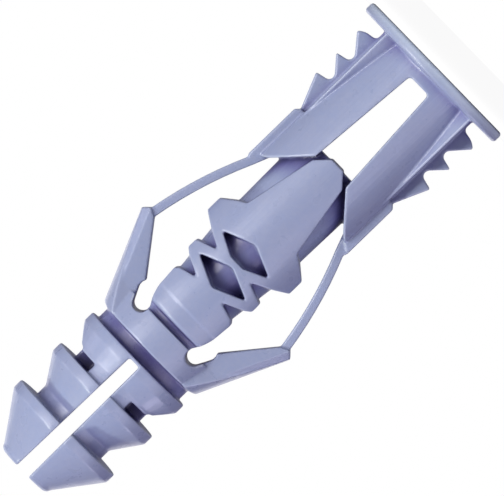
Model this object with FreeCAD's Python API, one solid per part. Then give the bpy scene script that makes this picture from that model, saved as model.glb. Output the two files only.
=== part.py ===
import FreeCAD, Part
import os
from FreeCAD import Vector

# Folding wall plug, moulded in one piece of plastic.
# It stands on its flange: the origin is the centre of the flange's outer face, +Z runs along
# the axis to the nose, and the two folding wings lie in the XZ plane. Lengths are millimetres.
# An outline is drawn in the XZ plane, as the plug is seen from the front.

# Flange: a thin disc with a softened rim
flange_radius = 6.1
flange_thickness = 0.8
flange_face_round = 0.22
flange_back_chamfer = 0.15

# Screw passage: a mouth in the flange, a cone between the legs and a pilot bore in the core
mouth_radius = 2.5
mouth_lead = 0.25
pilot_radius = 1.3
pilot_end_radius = 0.7
pilot_taper_height = 6.0

# Sleeve: a round tube with flat sides, split into two legs by a slot from front to back
sleeve_radius = 4.3
sleeve_half_width = 4.0
slot_start = 0.88
slot_height = 8.12
slot_top_half_width = 0.88
slot_foot_half_width = 1.43
slot_corner_round = 0.26
leg_slant_width = 2.05
leg_slant_height = 2.25
leg_end_drop = 0.4

# Corner ribs: wedges on the sleeve that are highest at the flange
rib_top_height = 3.77
rib_length = 9.1
rib_foot_height = 1.59
rib_slope = 0.69

# Toothed fins on the sleeve's flat sides; teeth are placed from the flange's back
fin_half_thickness = 0.6
fin_base_rise = 0.15
fin_valley_rise = 0.37
first_tooth_place = 1.28
first_shoulder_width = 0.27
first_shoulder_height = 0.45
first_shoulder_round = 0.3
first_crown_width = 0.45
first_crown_height = 0.37
first_crown_bulge = 0.04
first_tooth_width = 0.6
tooth_width = 1.03
tooth_places = (3.27, 5.12)
tooth_top_lean = 0.2
valley_height = 0.62

# Strap roots on the sleeve's flat sides, and the bowed straps below them
root_half_thickness = 1.3
root_rise = 0.65
root_lead = 1.47
root_chamfer = 0.3
root_foot_drop = 0.8
strap_step_width = 0.12
strap_step_height = 0.2
strap_half_thickness = 1.2
strap_thickness = 0.62
strap_spread = 2.05
strap_height = 7.07
strap_bow = 0.23

# Wings: they hang between the elbows and the collar
elbow_overhang = 0.45
elbow_height = 0.26
elbow_cut_height = 0.45
wing_height = 6.08
wing_foot_reach = 4.32
wing_neck_reach = 3.46
wing_neck_height = 3.04
wing_elbow_half_thickness = 1.45
wing_foot_half_thickness = 2.25
wing_bevel = 0.56
wing_flare_height = 2.0
wing_flare_depth = 0.55
nib_reach = 0.1
nib_height = 0.26

# Keyholes: the rounded notches between the wings and the core
keyhole_straight = 0.4
keyhole_floor_reach = 3.02
keyhole_slant_height = 0.9
keyhole_depth = 0.36
waist_half_width = 1.94

# Collar and neck
collar_radius = 4.1
collar_height = 1.98
collar_chamfer_width = 0.5
collar_chamfer_height = 0.15
neck_radius = 3.8
neck_half_depth = 3.0
neck_face_radius = 4.8
neck_height = 0.92

# Core: a closed tube with wedge lobes, a lattice and a ring on its front and back
tube_top_radius = 3.0
tube_skirt_radius = 2.84
tube_foot_radius = 2.41
tube_clearance = 0.12
tube_recess = 0.13
lobe_nest = 0.65
lobe_tip_half_width = 0.53
lobe_chamfer_half_width = 1.39
lobe_chamfer_height = 0.92
lobe_foot_half_width = 2.33
core_radius = 4.1
skirt_half_width = 3.87
skirt_height = 1.12
skirt_top_slant = 0.8
skirt_flare_height = 0.33
skirt_flare_half_width = 2.86
skirt_foot_half_width = 2.9
skirt_foot_slant = 0.58

# Lattice: two windows between crossing struts, with notches at the sides
window_half_width = 2.18
window_half_height = 0.92
window_tip_round = 0.3
window_pitch = 2.12
upper_window_foot_half_width = 0.56
upper_window_foot_rise = 0.14
lower_window_foot_half_width = 0.11
window_skirt_gap = 0.2
node_half_width = 3.0
node_rise = 0.46
node_height = 0.7
node_chamfer_width = 0.4
node_chamfer_height = 0.3
upper_notch_reach = 1.52
upper_notch_drop = 1.09
lower_notch_reach = 1.16
lower_notch_drop = 1.22

# Ring: the smooth barrel between the lattice and the collar
ring_top_half_width = 2.66
ring_middle_half_width = 2.55
ring_bend_half_width = 2.38
ring_corner_width = 0.25
ring_corner_height = 0.3
ring_height = 3.05
ring_straight_height = 1.4
ring_bend_height = 0.66
ring_step_height = 1.75
ring_step_depth = 0.05
ring_round = 0.3
ring_gap_height = 0.5
ring_gap_depth = 0.75
lattice_rise = 1.88
waist_height = 0.15

# Barbs on the nose, each with a flat shoulder, a short band and a cone, from the neck down
barb_radii = (4.3, 4.33, 4.39)
band_heights = (0.76, 0.76, 0.72)
cone_heights = (1.16, 1.95, 3.04)
cone_foot_radii = (3.3, 3.01, 2.18)
stem_radius = 3.01
stem_fillet = 0.26
stem_heights = (0.99, 0.86)
first_stem_depth = 3.95
tip_round_width = 0.5
tip_round_height = 0.36

# Pockets beside the land between the first two barbs, in front and behind
pocket_land_half_width = 1.69
pocket_floor = 0.9
pocket_height = 0.73

# Slot that halves the nose from front to back
nose_slot_start = 0.23
nose_slot_top_half_width = 0.445
nose_slot_foot_half_width = 0.56

# Heights from the flange's outer face, in order along the plug
slot_top = flange_thickness + slot_start
leg_corner = slot_top + slot_height
leg_foot = leg_corner + leg_slant_height
root_start = leg_corner - root_lead
root_foot = leg_foot + root_foot_drop
strap_start = root_foot + strap_step_height
elbow = strap_start + strap_height + elbow_height
wing_foot = elbow + wing_height
collar_foot = wing_foot + collar_chamfer_height
collar_top = collar_foot - collar_height
neck_foot = collar_foot + neck_height
lobe_tip = leg_corner - lobe_nest
tube_top = lobe_tip + tube_recess
ring_foot = collar_top
ring_top = ring_foot - ring_height
lower_window = ring_top - lattice_rise
upper_window = lower_window - window_pitch
skirt_foot = upper_window - window_skirt_gap
skirt_top = skirt_foot - skirt_height

# Places across the plug, from the sleeve's flat side out to the elbow
root_reach = sleeve_half_width + root_rise
strap_end = root_reach - strap_step_width + strap_spread
elbow_reach = strap_end + elbow_overhang

# What the construction needs
reach = 20.0  # half depth of a cut that goes right through the plug
overrun = 1.0  # how far a cut runs past the face in which it opens
same_place = 0.001  # two places closer than this are the same
arc_share = 1 - 0.5 ** 0.5  # a quarter arc's middle leaves its corner's sides by this share of its size


def edges_of(steps):
    """Edges through the steps; a step is a point, or a point on an arc with the arc's end."""
    edges = []
    start = steps[0]
    for step in steps[1:]:
        if isinstance(step[0], tuple):
            middle, end = step
            edges.append(Part.Arc(point(start), point(middle), point(end)).toShape())
        else:
            end = step
            edges.append(Part.LineSegment(point(start), point(end)).toShape())
        start = end
    return edges


def point(place):
    """A point of an outline, given as its place across and along the plug."""
    return Vector(place[0], 0, place[1])


def last_point(step):
    """The point in which a step ends."""
    return step[1] if isinstance(step[0], tuple) else step


def flip(place):
    """The same place on the plug's other side."""
    return (-place[0], place[1])


def two_sided(steps):
    """A closed outline from the steps of its right side, which are mirrored to the left."""
    left = [flip(last_point(steps[-1]))]
    for number in range(len(steps) - 1, 0, -1):
        step = steps[number]
        end = flip(last_point(steps[number - 1]))
        left.append((flip(step[0]), end) if isinstance(step[0], tuple) else end)
    return steps + left + [steps[0]]


def slab(steps, half_thickness):
    """A flat plate of the outline, as thick in front of the XZ plane as behind it."""
    face = Part.Face(Part.Wire(edges_of(steps)))
    face.translate(Vector(0, -half_thickness, 0))
    return face.extrude(Vector(0, 2 * half_thickness, 0))


def turned(steps):
    """A solid turned about the axis, from an outline of radius and height."""
    face = Part.Face(Part.Wire(edges_of(steps + [steps[0]])))
    return face.revolve(Vector(0, 0, 0), Vector(0, 0, 1), 360)


def both_sides(shape):
    """The shape of the right side and its mirror image."""
    return shape.fuse(shape.mirror(Vector(0, 0, 0), Vector(1, 0, 0)))


def front_and_back(shape):
    """The shape of the back and its mirror image."""
    return shape.fuse(shape.mirror(Vector(0, 0, 0), Vector(0, 1, 0)))


def flange():
    """The disc that stops on the wall, with a rounded face edge and a chamfered back edge."""
    bulge = flange_face_round * arc_share
    return turned([
        (0, 0),
        (flange_radius - flange_face_round, 0),
        ((flange_radius - bulge, bulge), (flange_radius, flange_face_round)),
        (flange_radius, flange_thickness - flange_back_chamfer),
        (flange_radius - flange_back_chamfer, flange_thickness),
        (0, flange_thickness),
    ])


def sleeve_outline():
    """The sleeve from the front: two legs with slanted ends, and the slot between them."""
    corner_half_width = slot_top_half_width - slot_corner_round
    bulge = slot_corner_round * arc_share
    slant_end = slot_foot_half_width + leg_slant_width
    return two_sided([
        (corner_half_width, slot_top),
        (
            (slot_top_half_width - bulge, slot_top + bulge),
            (slot_top_half_width, slot_top + slot_corner_round),
        ),
        (slot_foot_half_width, leg_corner),
        (slant_end, leg_foot),
        (sleeve_half_width, leg_foot + leg_end_drop),
        (sleeve_half_width, flange_thickness / 2),
    ])


def corner_rib():
    """One wedge along a corner of the sleeve, whose inner face leans towards the slot."""
    start = flange_thickness / 2
    slope = (rib_foot_height - rib_top_height) / rib_length
    top = rib_top_height + slope * (start - flange_thickness)
    length = root_foot - start
    width = sleeve_half_width - slot_foot_half_width
    corners = [
        Vector(sleeve_half_width, top, start),
        Vector(slot_foot_half_width, top - rib_slope * width, start),
        Vector(sleeve_half_width, top - 2 * rib_slope * width, start),
    ]
    face = Part.Face(Part.makePolygon(corners + corners[:1]))
    half_space = Part.makeBox(2 * reach, reach, 2 * reach, Vector(-reach, 0, -reach))
    return face.extrude(Vector(0, slope * length, length)).common(half_space)


def fin_outline():
    """The toothed fin of the right side, from the flange down to the strap's root."""
    inner = sleeve_half_width - fin_half_thickness
    base = sleeve_half_width + fin_base_rise
    valley = sleeve_half_width + fin_valley_rise
    shoulder = base + first_shoulder_width
    crown = shoulder + first_crown_width
    first_tip = flange_thickness + first_tooth_place
    shoulder_height = first_tip - first_shoulder_height
    corner_bulge = first_shoulder_round * arc_share
    crown_middle = (
        crown + (first_tooth_width + first_crown_bulge) / 2,
        first_tip - first_crown_height / 2 - first_crown_bulge,
    )
    steps = [
        (inner, flange_thickness / 2),
        (base, flange_thickness / 2),
        (base, shoulder_height - first_shoulder_round),
        ((base + corner_bulge, shoulder_height - corner_bulge), (shoulder, shoulder_height)),
        (crown, first_tip - first_crown_height),
        (crown_middle, (crown + first_tooth_width, first_tip)),
    ]
    for place in tooth_places:
        tip = flange_thickness + place
        valley_foot = tip - tooth_top_lean
        steps.append((valley + tooth_top_lean / 2, valley_foot - valley_height))
        steps.append(((valley, valley_foot - valley_height / 2), (valley + tooth_top_lean, valley_foot)))
        steps.append((valley + tooth_width, tip))
    return steps + [(valley, root_start), (inner, root_start), steps[0]]


def root_outline():
    """The strap's root: a strip on the leg's flat side that ends in a small step."""
    inner = slot_foot_half_width + leg_slant_width
    top = root_start + root_chamfer
    return [
        (inner, root_start),
        (root_reach - root_chamfer, root_start),
        (root_reach, top),
        (root_reach, root_foot),
        (sleeve_half_width, leg_foot + leg_end_drop),
        (inner, leg_foot),
        (inner, root_start),
    ]


def strap_outline():
    """The bowed strap: two arcs of the same bow, a strap's thickness apart."""
    length = (strap_spread ** 2 + strap_height ** 2) ** 0.5
    across = (strap_height / length, -strap_spread / length)
    outer_start = (root_reach - strap_step_width, strap_start)
    outer_end = (outer_start[0] + strap_spread, outer_start[1] + strap_height)
    outer_middle = (
        (outer_start[0] + outer_end[0]) / 2 + strap_bow * across[0],
        (outer_start[1] + outer_end[1]) / 2 + strap_bow * across[1],
    )
    inner_start, inner_middle, inner_end = [
        (place[0] - strap_thickness * across[0], place[1] - strap_thickness * across[1])
        for place in (outer_start, outer_middle, outer_end)
    ]
    inner = slot_foot_half_width + leg_slant_width
    return [
        (root_reach, root_foot),
        outer_start,
        (outer_middle, outer_end),
        (outer_end[0], elbow),
        (inner_end[0], elbow),
        inner_end,
        (inner_middle, inner_start),
        (inner, leg_foot),
        (inner, leg_corner),
        (root_reach - root_chamfer, leg_corner),
        (root_reach, root_foot),
    ]


def sleeve():
    """The split sleeve with its ribs, fins and strap roots, bored for the screw."""
    outline = slab(sleeve_outline(), reach)
    tube = Part.makeCylinder(sleeve_radius, root_foot, Vector(0, 0, flange_thickness / 2))
    ribs = front_and_back(both_sides(corner_rib()))
    return tube.fuse(ribs).common(outline)


def sleeve_bore():
    """The space for the screw: a mouth, a cone between the legs and room for the tube."""
    end_radius = tube_top_radius + tube_clearance
    return turned([
        (0, -overrun),
        (mouth_radius + mouth_lead, -overrun),
        (mouth_radius + mouth_lead, 0),
        (mouth_radius, mouth_lead),
        (mouth_radius, slot_top),
        (end_radius, tube_top - tube_clearance),
        (end_radius, elbow),
        (0, elbow),
    ])


def side_parts():
    """Fins, strap roots and straps of both sides."""
    fin = slab(fin_outline(), fin_half_thickness)
    root = slab(root_outline(), root_half_thickness)
    strap = slab(strap_outline(), strap_half_thickness)
    return both_sides(fin.fuse([root, strap]))


def crown_outline():
    """Collar and wings from the front, with the keyholes beside the core's waist."""
    neck_foot_height = elbow + wing_neck_height
    keyhole_top = neck_foot_height + nib_height + keyhole_straight
    keyhole_foot = keyhole_top + keyhole_slant_height
    keyhole_middle = (keyhole_floor_reach + waist_half_width) / 2
    return two_sided([
        (waist_half_width, ring_foot),
        ((keyhole_middle, keyhole_foot + keyhole_depth), (keyhole_floor_reach, keyhole_foot)),
        (wing_neck_reach, keyhole_top),
        (wing_neck_reach, neck_foot_height + nib_height),
        (wing_neck_reach - nib_reach, neck_foot_height + nib_height / 2),
        (wing_neck_reach, neck_foot_height),
        (strap_end - strap_thickness, elbow - elbow_height / 2),
        (strap_end, elbow - elbow_cut_height),
        (elbow_reach, elbow),
        (wing_foot_reach, wing_foot),
        (wing_foot_reach - collar_chamfer_width, collar_foot),
    ])


def wing_block():
    """A block as thick as the wings: thin at the elbows, and flared where it meets the collar."""
    top = strap_start
    slope = (wing_foot_half_thickness - wing_elbow_half_thickness) / wing_height
    top_half = wing_elbow_half_thickness - slope * (elbow - top)
    flare_top = collar_foot - wing_flare_height
    flare_half = wing_foot_half_thickness - slope * (wing_foot - flare_top)
    profile = [
        (-top_half, top),
        (top_half, top),
        (flare_half, flare_top),
        (flare_half + wing_flare_depth, collar_foot),
        (-flare_half - wing_flare_depth, collar_foot),
        (-flare_half, flare_top),
    ]
    corners = [Vector(-reach, depth, height) for depth, height in profile]
    face = Part.Face(Part.makePolygon(corners + corners[:1]))
    return face.extrude(Vector(2 * reach, 0, 0))


def wing_envelope():
    """The cone that the wings' outer edges lie on."""
    slope = (elbow_reach - wing_foot_reach) / wing_height
    top_reach = elbow_reach + slope * (elbow - strap_start)
    foot_reach = wing_foot_reach - slope * collar_chamfer_height
    return turned([
        (0, strap_start),
        (top_reach, strap_start),
        (foot_reach, collar_foot),
        (0, collar_foot),
    ])


def crown():
    """The collar with both wings; the wings' outer edges are bevelled."""
    outline = slab(crown_outline(), reach)
    wings = wing_block().common(outline)
    outer_edges = []
    for edge in wings.Edges:
        ends = sorted((vertex.Point for vertex in edge.Vertexes), key=lambda place: place.z)
        starts_at_elbow = abs(abs(ends[0].x) - elbow_reach) < same_place
        runs_down = ends[-1].z > elbow + wing_height / 2
        if starts_at_elbow and runs_down:
            outer_edges.append(edge)
    wings = wings.makeChamfer(wing_bevel, outer_edges).common(wing_envelope())
    collar = Part.makeCylinder(collar_radius, collar_height, Vector(0, 0, collar_top))
    return wings.fuse(collar.common(outline))


def core_outline():
    """The core's raised front from the flange side down: lobe, skirt, node and ring."""
    node_top = lower_window - node_rise
    node_foot = node_top + node_height
    ring_bend_start = ring_top + ring_straight_height
    return two_sided([
        (lobe_tip_half_width, lobe_tip),
        (lobe_chamfer_half_width, lobe_tip + lobe_chamfer_height),
        (lobe_foot_half_width, skirt_top - skirt_top_slant - skirt_flare_height),
        (skirt_flare_half_width, skirt_top - skirt_top_slant),
        (skirt_half_width, skirt_top),
        (skirt_half_width, skirt_foot),
        (skirt_foot_half_width, skirt_foot + skirt_foot_slant),
        (upper_notch_reach, upper_window + upper_notch_drop),
        (node_half_width, node_top),
        (node_half_width, node_foot),
        (node_half_width - node_chamfer_width, node_foot + node_chamfer_height),
        (lower_notch_reach, lower_window + lower_notch_drop),
        (ring_top_half_width - ring_corner_width, ring_top - ring_corner_height),
        (ring_top_half_width, ring_top),
        (ring_middle_half_width, ring_bend_start),
        (
            (ring_bend_half_width, ring_bend_start + ring_bend_height),
            (waist_half_width, ring_foot - waist_height),
        ),
        (waist_half_width, collar_foot),
    ])


def window_outline(height, foot_half_width, foot_rise):
    """A lattice window: a flat rhombus with a soft top, pointed or cut flat at its foot."""
    lean = window_tip_round * window_half_height / window_half_width
    top = height - window_half_height
    foot = height + window_half_height
    steps = [
        (foot_half_width, foot - foot_rise),
        (window_half_width, height),
        (window_tip_round, top + lean),
    ]
    closed = two_sided(steps)
    crown_arc = ((0, top + lean / 2), (-window_tip_round, top + lean))
    closed[3] = crown_arc
    return closed


def core_front():
    """The raised parts of the core, with the windows cut through to the tube."""
    ring_radius = core_radius - ring_step_depth
    ring_step = ring_foot - ring_step_height
    ring_end = ring_foot - ring_gap_height
    barrel = turned([
        (0, lobe_tip),
        (core_radius, lobe_tip),
        (core_radius, ring_step),
        (ring_radius, ring_step + ring_step_depth),
        (ring_radius, ring_end - ring_round),
        (
            (ring_radius - ring_round * arc_share, ring_end - ring_round * arc_share),
            (ring_radius - ring_round, ring_end),
        ),
        (ring_radius - ring_gap_depth, ring_end),
        (ring_radius - ring_gap_depth, collar_foot),
        (0, collar_foot),
    ])
    front = slab(core_outline(), reach).common(barrel)
    upper = slab(window_outline(upper_window, upper_window_foot_half_width, upper_window_foot_rise), reach)
    lower = slab(window_outline(lower_window, lower_window_foot_half_width, 0), reach)
    return front.cut([upper, lower])


def core_tube():
    """The closed tube inside the lobes and the lattice, which narrows towards the ring."""
    return turned([
        (0, tube_top),
        (tube_top_radius, tube_top),
        (tube_skirt_radius, skirt_foot + skirt_foot_slant),
        (tube_foot_radius, ring_top),
        (waist_half_width, ring_foot),
        (0, ring_foot),
    ])


def neck():
    """The neck: a round bar with a flatter front and back, which runs on into collar and barb."""
    start = collar_foot - collar_height / 2
    length = neck_foot + band_heights[0] / 2 - start
    bar = Part.makeCylinder(neck_radius, length, Vector(0, 0, start))
    for side in (-1, 1):
        centre = Vector(0, side * (neck_face_radius - neck_half_depth), start)
        bar = bar.common(Part.makeCylinder(neck_face_radius, length, centre))
    return bar


def first_barb():
    """The barb behind the neck, whose cone and stem stay deeper in front and behind than at the sides."""
    radius = barb_radii[0]
    band_foot = neck_foot + band_heights[0]
    cone_foot = band_foot + cone_heights[0]
    stem_foot = cone_foot + stem_heights[0]
    body = turned([
        (0, neck_foot),
        (radius, neck_foot),
        (radius, band_foot),
        (first_stem_depth, cone_foot),
        (first_stem_depth, stem_foot),
        (0, stem_foot),
    ])
    fillet_middle = (
        stem_radius + (cone_foot_radii[0] - stem_radius) * arc_share,
        cone_foot + stem_fillet * arc_share,
    )
    outline = two_sided([
        (radius + overrun, neck_foot - overrun),
        (radius + overrun, band_foot),
        (radius, band_foot),
        (cone_foot_radii[0], cone_foot),
        (fillet_middle, (stem_radius, cone_foot + stem_fillet)),
        (stem_radius, stem_foot + overrun),
    ])
    return body.common(slab(outline, reach)), stem_foot


def round_barbs(height):
    """The barbs below the first one, turned about the axis, with the tip's edge rounded."""
    steps = [(0, height)]
    for number in range(1, len(barb_radii)):
        radius = barb_radii[number]
        steps.append((radius, height))
        height += band_heights[number]
        steps.append((radius, height))
        height += cone_heights[number]
        steps.append((cone_foot_radii[number], height))
        if number < len(stem_heights):
            height += stem_heights[number]
            steps.append((stem_radius, height))
    tip = height + tip_round_height
    tip_middle = (
        cone_foot_radii[-1] - tip_round_width * arc_share,
        tip - tip_round_height * arc_share,
    )
    steps.append((tip_middle, (cone_foot_radii[-1] - tip_round_width, tip)))
    steps.append((0, tip))
    return turned(steps), tip


def nose_cuts(tip):
    """The slot through the nose and the four pockets beside the land of the first stem."""
    slot = slab(two_sided([
        (nose_slot_top_half_width, neck_foot + nose_slot_start),
        (nose_slot_foot_half_width, tip + overrun),
    ]), reach)
    first_stem_foot = neck_foot + band_heights[0] + cone_heights[0] + stem_heights[0]
    corner = Vector(pocket_land_half_width, pocket_floor, first_stem_foot - pocket_height)
    pocket = Part.makeBox(reach, reach, pocket_height, corner)
    return front_and_back(both_sides(pocket)).fuse(slot)


def pilot_bore():
    """The bore that the screw bites in, with a taper between the nose halves."""
    bore_foot = neck_foot + nose_slot_start
    return turned([
        (0, tube_top - overrun),
        (pilot_radius, tube_top - overrun),
        (pilot_radius, bore_foot),
        (pilot_end_radius, bore_foot + pilot_taper_height),
        (0, bore_foot + pilot_taper_height),
    ])


def wall_plug():
    """The whole plug as one solid."""
    head = flange().fuse([sleeve(), side_parts()]).cut(sleeve_bore())
    barb, barb_foot = first_barb()
    barbs, tip = round_barbs(barb_foot)
    core = core_front().fuse([core_tube(), crown(), neck(), barb, barbs])
    core = core.cut([nose_cuts(tip), pilot_bore()])
    return head.fuse(core).removeSplitter()


os.makedirs("parts", exist_ok=True)
plug = wall_plug()
solids = plug.Solids
print("solids", len(solids), "volume", round(plug.Volume, 3), "box", plug.BoundBox, "valid", plug.isValid())
plug.exportStep("parts/wall_plug.step")
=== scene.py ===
import math

import bpy
import bmesh
import numpy as np
import openvdb
from mathutils import Matrix, Vector

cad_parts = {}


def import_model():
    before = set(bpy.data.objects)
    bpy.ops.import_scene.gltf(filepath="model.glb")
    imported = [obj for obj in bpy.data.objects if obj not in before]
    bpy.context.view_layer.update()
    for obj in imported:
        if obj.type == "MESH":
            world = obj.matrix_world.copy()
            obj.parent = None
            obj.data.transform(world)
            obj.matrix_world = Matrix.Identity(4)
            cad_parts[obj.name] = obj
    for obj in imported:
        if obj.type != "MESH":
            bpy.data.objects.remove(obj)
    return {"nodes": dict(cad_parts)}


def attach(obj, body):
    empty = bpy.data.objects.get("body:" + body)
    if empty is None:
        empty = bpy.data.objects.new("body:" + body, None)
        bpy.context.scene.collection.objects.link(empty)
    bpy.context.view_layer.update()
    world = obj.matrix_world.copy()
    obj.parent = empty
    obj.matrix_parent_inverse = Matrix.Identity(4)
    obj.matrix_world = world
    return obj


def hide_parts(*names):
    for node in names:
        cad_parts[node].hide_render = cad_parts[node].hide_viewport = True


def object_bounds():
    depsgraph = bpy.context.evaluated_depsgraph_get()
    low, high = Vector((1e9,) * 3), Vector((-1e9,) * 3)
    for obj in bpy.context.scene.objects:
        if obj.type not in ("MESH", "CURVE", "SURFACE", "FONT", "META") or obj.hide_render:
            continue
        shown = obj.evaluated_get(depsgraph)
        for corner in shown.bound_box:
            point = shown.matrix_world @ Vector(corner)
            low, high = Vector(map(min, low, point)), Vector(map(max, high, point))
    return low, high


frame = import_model()
cad_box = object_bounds()

# The folding wall plug stands on its flange, nose up. Lengths are metres unless a name says mm.
MM = 0.001

# The picture and its camera.
AXIS_ANGLE = math.radians(44.18)  # how far the plug's axis leans from the picture's horizontal
PICTURE_WIDTH = 504
PICTURE_HEIGHT = 496
MM_PER_PIXEL = 0.066
FLANGE_PIXEL = (437.5, 68.1)  # where the centre of the flange's face lies in the picture
CAMERA_DISTANCE = 0.75
CAMERA_HEIGHT = 0.0006
SENSOR_WIDTH_MM = 36
NEAREST_SEEN = 0.01
FARTHEST_SEEN = 20

# The moulding's soft edges.
WELD_MM = 0.0005
VOXEL_MM = 0.05
BAND_VOXELS = 5
EDGE_ROUND_MM = 0.055
CORNER_FILL_MM = 0.06
SMOOTHING_ROUNDS = 4
SMOOTHING_SHARE = 0.5  # how much of the way to its neighbours' middle a point moves
SMOOTHING_REGAIN = 0.5  # how much of that move is then taken back
MOULDING_TRIANGLES = 190000

# The plastic's colour, and the tints that multiply it: random tone, painted shade and painted
# highlights. A span says where a tint begins, and where it is full.
BODY_COLOUR = (0.285, 0.325, 0.486)
NOISE_SPAN = (0.35, 0.65)
CLEARNESS_SAMPLES = 8
CLOUD_MM = 2.6
CLOUD_TINT = (1.03, 1.01, 0.99)
MOTTLE_MM = 0.28
MOTTLE_TINT = (0.95, 0.97, 1.0)
# Painted shade: darker and more purple in recesses and crevices, where shade falls.
RECESS_SHADE_MM = 1.5
RECESS_SHADE_SPAN = (0.8, 0.4)
RECESS_SHADE_TINT = (0.5, 0.42, 0.68)
# Painted shade, darker still in the deepest recesses.
DEEP_SHADE_SPAN = (0.42, 0.12)
DEEP_SHADE_TINT = (0.22, 0.22, 0.34)
# Painted highlight: paler and greener along the edges.
EDGE_HIGHLIGHT_MM = 0.17
EDGE_HIGHLIGHT_SPAN = (0.93, 0.55)
EDGE_HIGHLIGHT_TINT = (1.65, 1.6, 1.32)
# Painted light: the flange's rim is paler towards the floor.
RIM_LIGHT_SPAN_MM = (0.7, 0.3)
RIM_LIGHT_TINT = (1.5, 1.52, 1.3)
NECK_SHADE_MM = (26.7, 27.6)  # the heights between which painted shade darkens the neck
NECK_SHADE_FADE_MM = 0.1
NECK_SHADE_TINT = (0.64, 0.6, 0.77)
NECK_SHADE_PATCH_MM = 0.4
NECK_SHADE_PATCH_SPAN = (0.3, 0.7)
NECK_SHADE_PATCH_LEAST = 0.6  # the neck's painted shade in the faintest patch, as a share of the whole

# The plastic's gloss and its fine relief.
GLOSS_MM = 0.9
GLOSS_SPAN = (0.3, 0.7)
ROUGHNESS = (0.26, 0.35)
GRAIN_MM = 0.16
GRAIN_STRENGTH = 0.2
GRAIN_DEPTH_MM = 0.004
FLOW_MM = 1.1
FLOW_STRENGTH = 0.3
FLOW_DEPTH_MM = 0.03
FLOW_STRETCH = (1, 1, 0.25)

# The studio.
FLOOR_HALF = 0.6
FLOOR_GREY = 0.35
FLOOR_ROUGHNESS = 0.8
FLOOR_GLOW = 1.17
FLOOR_GLOW_SHARE = 0.8  # for the camera; the rest of the floor is lit, and keeps the plug's shadow
SURROUNDINGS_COLOUR = (0.12, 0.1, 0.155)
LAMP_DISTANCE = 0.35


def smoothed(places, edges):
    """Each point moved towards its neighbours and half of the way back, which evens out the facets."""
    count = len(places)
    degree = np.bincount(edges.ravel(), minlength=count)[:, None]
    for _ in range(SMOOTHING_ROUNDS):
        for step in (SMOOTHING_SHARE, -SMOOTHING_SHARE * SMOOTHING_REGAIN):
            total = np.empty_like(places)
            for axis in range(3):
                total[:, axis] = np.bincount(edges[:, 0], places[edges[:, 1], axis], count)
                total[:, axis] += np.bincount(edges[:, 1], places[edges[:, 0], axis], count)
            places = places + step * (total / degree - places)
    return places


def solid_triangles(name):
    """The corners of a node's solid in millimetres, and its triangles."""
    welded = bmesh.new()
    welded.from_mesh(frame["nodes"][name].data)
    bmesh.ops.remove_doubles(welded, verts=welded.verts, dist=WELD_MM * MM)
    bmesh.ops.triangulate(welded, faces=welded.faces)
    corners = np.array([vertex.co for vertex in welded.verts], np.float32) / MM
    triangles = np.array([[vertex.index for vertex in face.verts] for face in welded.faces], np.uint32)
    welded.free()
    return corners, triangles


def offset(corners, faces, distance_mm):
    """The closed surface that lies a distance outside a closed mesh, or inside it if negative."""
    kind = {3: "triangles", 4: "quads"}[faces.shape[1]]
    field = openvdb.FloatGrid.createLevelSetFromPolygons(
        np.ascontiguousarray(corners, np.float32),
        transform=openvdb.createLinearTransform(VOXEL_MM),
        halfWidth=BAND_VOXELS,
        **{kind: faces})
    return field.convertToQuads(isovalue=distance_mm)


def faces_only(name, count, faces):
    """A mesh of the faces between that many points, which are still to be placed."""
    mesh = bpy.data.meshes.new(name)
    mesh.vertices.add(count)
    mesh.loops.add(faces.size)
    mesh.polygons.add(len(faces))
    mesh.loops.foreach_set("vertex_index", faces.ravel().astype(np.int32))
    mesh.polygons.foreach_set("loop_start", np.arange(0, faces.size, faces.shape[1], dtype=np.int32))
    mesh.update(calc_edges=True)
    return mesh


def thinned(piece, triangles):
    """Brings a piece of that many triangles down to the number that the moulding may have."""
    dense = piece.data
    fewer = piece.modifiers.new("fewer_triangles", "DECIMATE")
    fewer.ratio = MOULDING_TRIANGLES / triangles
    depsgraph = bpy.context.evaluated_depsgraph_get()
    piece.data = bpy.data.meshes.new_from_object(piece.evaluated_get(depsgraph))
    piece.modifiers.clear()
    bpy.data.meshes.remove(dense)


def moulding():
    """The whole moulding with the soft edges of a polished mould, from the plug's own solid."""
    corners, quads = solid_triangles("wall_plug")
    for distance_mm in (-EDGE_ROUND_MM, EDGE_ROUND_MM + CORNER_FILL_MM, -CORNER_FILL_MM):
        corners, quads = offset(corners, quads, distance_mm)
    mesh = faces_only("wall_plug_moulding", len(corners), quads)
    edges = np.empty(len(mesh.edges) * 2, np.int64)
    mesh.edges.foreach_get("vertices", edges)
    places = smoothed(corners.astype(np.float64), edges.reshape(-1, 2))
    lowest = np.array(cad_box[0]) / MM
    highest = np.array(cad_box[1]) / MM
    mesh.vertices.foreach_set("co", np.clip(places, lowest, highest).ravel())
    mesh.validate()
    piece = bpy.data.objects.new("wall_plug_moulding", mesh)
    bpy.context.scene.collection.objects.link(piece)
    thinned(piece, 2 * len(quads))
    piece.data.transform(Matrix.Scale(MM, 4))
    piece.data.flip_normals()  # the offset surface comes with its faces looking inwards
    piece.data.shade_smooth()
    return piece


def added(tree, kind, inputs, **settings):
    """A new node with its settings. An input takes a value, or a link where a socket is given."""
    node = tree.nodes.new("ShaderNode" + kind)
    for name, value in settings.items():
        setattr(node, name, value)
    for name, value in inputs.items():
        if isinstance(value, bpy.types.NodeSocket):
            tree.links.new(value, node.inputs[name])
        else:
            node.inputs[name].default_value = value
    return node


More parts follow.
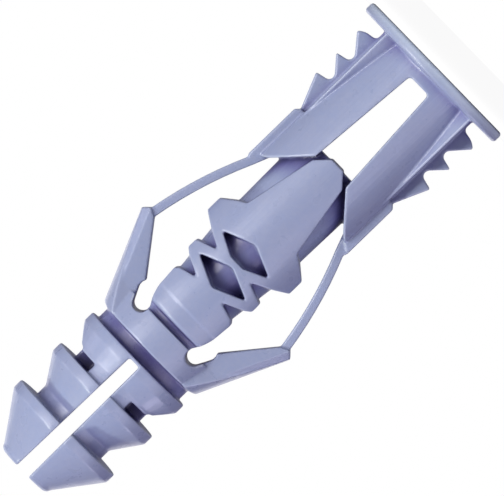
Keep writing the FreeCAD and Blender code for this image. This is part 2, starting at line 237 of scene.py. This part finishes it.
def plastic():
    """Satin moulded plastic, lavender blue, with painted highlights along its edges and its rim, and
    painted shade in its recesses and its neck.
    """
    material = bpy.data.materials.new("lavender_plastic")
    material.use_nodes = True
    tree = material.node_tree
    place = added(tree, "TexCoord", {}).outputs["Object"]

    def noise(size_mm, detail, stretch=(1, 1, 1)):
        """Noise with spots of about that size, longer along an axis whose stretch is under 1."""
        scale = [share / (size_mm * MM) for share in stretch]
        spread = added(tree, "Mapping", {"Vector": place, "Scale": scale}).outputs["Vector"]
        return added(tree, "TexNoise", {"Vector": spread, "Scale": 1.0, "Detail": detail}).outputs["Fac"]

    def ranged(value, span, result=(0, 1)):
        """How far the value is along the span, from 0 to 1 or from one result to the other."""
        ends = {"From Min": span[0], "From Max": span[1], "To Min": result[0], "To Max": result[1]}
        return added(tree, "MapRange", {"Value": value, **ends}).outputs["Result"]

    def product(first, second):
        return added(tree, "Math", {0: first, 1: second}, operation="MULTIPLY").outputs["Value"]

    def tinted(colour, factor, tint):
        """The colour multiplied by a tint, as far as the factor says."""
        inputs = {"Fac": factor, "Color1": colour, "Color2": (*tint, 1)}
        return added(tree, "MixRGB", inputs, blend_type="MULTIPLY").outputs["Color"]

    def clearness(distance_mm, inside):
        """How free a point's surroundings are of the plug's own surface, within the distance: 1 is free."""
        settings = {"samples": CLEARNESS_SAMPLES, "only_local": True, "inside": inside}
        return added(tree, "AmbientOcclusion", {"Distance": distance_mm * MM}, **settings).outputs["AO"]

    def bump(height, strength, depth_mm, **under):
        """The surface's direction with a fine relief, over the one that is given as Normal, if any."""
        inputs = {"Height": height, "Strength": strength, "Distance": depth_mm * MM, **under}
        return added(tree, "Bump", inputs).outputs["Normal"]

    def neck_shade_band(height):
        """1 between the neck's two heights and 0 beyond them, with a short fade at each."""
        low, high = NECK_SHADE_MM
        above = ranged(height, ((low - NECK_SHADE_FADE_MM) * MM, (low + NECK_SHADE_FADE_MM) * MM))
        below = ranged(height, ((high + NECK_SHADE_FADE_MM) * MM, (high - NECK_SHADE_FADE_MM) * MM))
        return product(above, below)

    body = added(tree, "RGB", {})
    body.outputs["Color"].default_value = (*BODY_COLOUR, 1)
    colour = body.outputs["Color"]
    colour = tinted(colour, ranged(noise(CLOUD_MM, detail=3), NOISE_SPAN), CLOUD_TINT)
    colour = tinted(colour, ranged(noise(MOTTLE_MM, detail=2), NOISE_SPAN), MOTTLE_TINT)
    # Painted shade in the recesses, from how closed in each point is.
    shade_openness = clearness(RECESS_SHADE_MM, inside=False)
    colour = tinted(colour, ranged(shade_openness, RECESS_SHADE_SPAN), RECESS_SHADE_TINT)
    colour = tinted(colour, ranged(shade_openness, DEEP_SHADE_SPAN), DEEP_SHADE_TINT)
    # Painted highlight along the edges, where a point's surroundings are closed in behind it.
    colour = tinted(colour, ranged(clearness(EDGE_HIGHLIGHT_MM, inside=True), EDGE_HIGHLIGHT_SPAN), EDGE_HIGHLIGHT_TINT)
    height = added(tree, "SeparateXYZ", {"Vector": place}).outputs["Z"]
    # Painted light on the flange's rim, paler at the lowest heights.
    colour = tinted(colour, ranged(height, [end * MM for end in RIM_LIGHT_SPAN_MM]), RIM_LIGHT_TINT)
    # Painted shade in the neck groove, in patches.
    shade_patches = ranged(noise(NECK_SHADE_PATCH_MM, detail=2), NECK_SHADE_PATCH_SPAN, (NECK_SHADE_PATCH_LEAST, 1))
    colour = tinted(colour, product(neck_shade_band(height), shade_patches), NECK_SHADE_TINT)

    shader = tree.nodes["Principled BSDF"]
    tree.links.new(colour, shader.inputs["Base Color"])
    roughness = ranged(noise(GLOSS_MM, detail=3), GLOSS_SPAN, ROUGHNESS)
    tree.links.new(roughness, shader.inputs["Roughness"])
    grain = bump(noise(GRAIN_MM, detail=3), GRAIN_STRENGTH, GRAIN_DEPTH_MM)
    waves = noise(FLOW_MM, detail=2, stretch=FLOW_STRETCH)
    flow = bump(waves, FLOW_STRENGTH, FLOW_DEPTH_MM, Normal=grain)
    tree.links.new(flow, shader.inputs["Normal"])
    return material


def camera():
    """A long lens, level with the flange, turned so that the plug lies across the picture."""
    data = bpy.data.cameras.new("camera")
    data.sensor_width = SENSOR_WIDTH_MM
    width = PICTURE_WIDTH * MM_PER_PIXEL * MM
    data.lens = data.sensor_width * CAMERA_DISTANCE / width
    data.clip_start = NEAREST_SEEN
    data.clip_end = FARTHEST_SEEN
    right = Vector((-math.sin(AXIS_ANGLE), 0, -math.cos(AXIS_ANGLE)))
    up = Vector((math.cos(AXIS_ANGLE), 0, -math.sin(AXIS_ANGLE)))
    across = (PICTURE_WIDTH / 2 - FLANGE_PIXEL[0]) * MM_PER_PIXEL * MM
    down = (PICTURE_HEIGHT / 2 - FLANGE_PIXEL[1]) * MM_PER_PIXEL * MM
    target = right * across - up * down
    place = Vector((0, -CAMERA_DISTANCE, CAMERA_HEIGHT))
    back = (place - target).normalized()
    side = up.cross(back).normalized()
    top = back.cross(side)
    turn = Matrix((side, top, back)).transposed().to_4x4()
    seen = bpy.data.objects.new("camera", data)
    seen.matrix_world = Matrix.Translation(place) @ turn
    bpy.context.scene.collection.objects.link(seen)
    bpy.context.scene.camera = seen


def lamp(name, azimuth, elevation, size, power, colour=(1, 1, 1)):
    """A square soft light on the plug's middle. Azimuth 0 is the camera's side, and 90 is the +X side."""
    data = bpy.data.lights.new(name, "AREA")
    data.shape = "SQUARE"
    data.size = size
    data.energy = power
    data.color = colour
    middle = Vector((0, 0, (cad_box[0].z + cad_box[1].z) / 2))
    flat = math.cos(math.radians(elevation))
    direction = Vector((
        math.sin(math.radians(azimuth)) * flat,
        -math.cos(math.radians(azimuth)) * flat,
        math.sin(math.radians(elevation))))
    place = middle + direction * LAMP_DISTANCE
    turn = direction.to_track_quat("Z", "Y").to_matrix().to_4x4()
    shining = bpy.data.objects.new(name, data)
    shining.matrix_world = Matrix.Translation(place) @ turn
    bpy.context.scene.collection.objects.link(shining)


def world():
    """Plain surroundings that light the plug dimly, white for the camera."""
    surroundings = bpy.data.worlds.new("studio")
    surroundings.use_nodes = True
    tree = surroundings.node_tree
    for_camera = added(tree, "LightPath", {}).outputs["Is Camera Ray"]
    inputs = {"Fac": for_camera, "Color1": (*SURROUNDINGS_COLOUR, 1), "Color2": (1, 1, 1, 1)}
    seen = added(tree, "MixRGB", inputs).outputs["Color"]
    tree.links.new(seen, tree.nodes["Background"].inputs["Color"])
    bpy.context.scene.world = surroundings


def floor_material():
    """A pale matt surface that glows for the camera, but for a share that keeps shadows."""
    material = bpy.data.materials.new("pale_floor")
    material.use_nodes = True
    tree = material.node_tree
    shader = tree.nodes["Principled BSDF"]
    shader.inputs["Base Color"].default_value = (FLOOR_GREY, FLOOR_GREY, FLOOR_GREY, 1)
    shader.inputs["Roughness"].default_value = FLOOR_ROUGHNESS
    shader.inputs["Specular IOR Level"].default_value = 0.0
    glow = added(tree, "Emission", {"Strength": FLOOR_GLOW}).outputs["Emission"]
    for_camera = added(tree, "LightPath", {}).outputs["Is Camera Ray"]
    share = added(tree, "Math", {0: for_camera, 1: FLOOR_GLOW_SHARE}, operation="MULTIPLY").outputs["Value"]
    blend = added(tree, "MixShader", {"Fac": share, 1: shader.outputs["BSDF"], 2: glow}).outputs["Shader"]
    tree.links.new(blend, tree.nodes["Material Output"].inputs["Surface"])
    return material


def floor():
    """A plain square floor under the flange."""
    mesh = bpy.data.meshes.new("floor")
    corners = [(x * FLOOR_HALF, y * FLOOR_HALF, 0) for x, y in ((-1, -1), (1, -1), (1, 1), (-1, 1))]
    mesh.from_pydata(corners, [], [(0, 1, 2, 3)])
    mesh.materials.append(floor_material())
    ground = bpy.data.objects.new("floor", mesh)
    bpy.context.scene.collection.objects.link(ground)


camera()
piece = moulding()
piece.data.materials.append(plastic())
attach(piece, "root")
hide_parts("wall_plug")
floor()
world()
lamp("key_soft", azimuth=36, elevation=21, size=0.18, power=0.98, colour=(1.0, 0.985, 1.0))
lamp("key_high", azimuth=28, elevation=52, size=0.03, power=0.45, colour=(1.02, 1.08, 0.88))
lamp("fill", azimuth=-50, elevation=5, size=0.24, power=0.36, colour=(0.98, 0.91, 1.11))
lamp("right", azimuth=-90, elevation=28, size=0.12, power=0.2, colour=(0.97, 0.88, 1.16))
lamp("left", azimuth=90, elevation=20, size=0.12, power=0.08, colour=(0.98, 0.9, 1.1))
lamp("back", azimuth=180, elevation=35, size=0.4, power=0.6)
bpy.context.scene.view_settings.view_transform = "Standard"
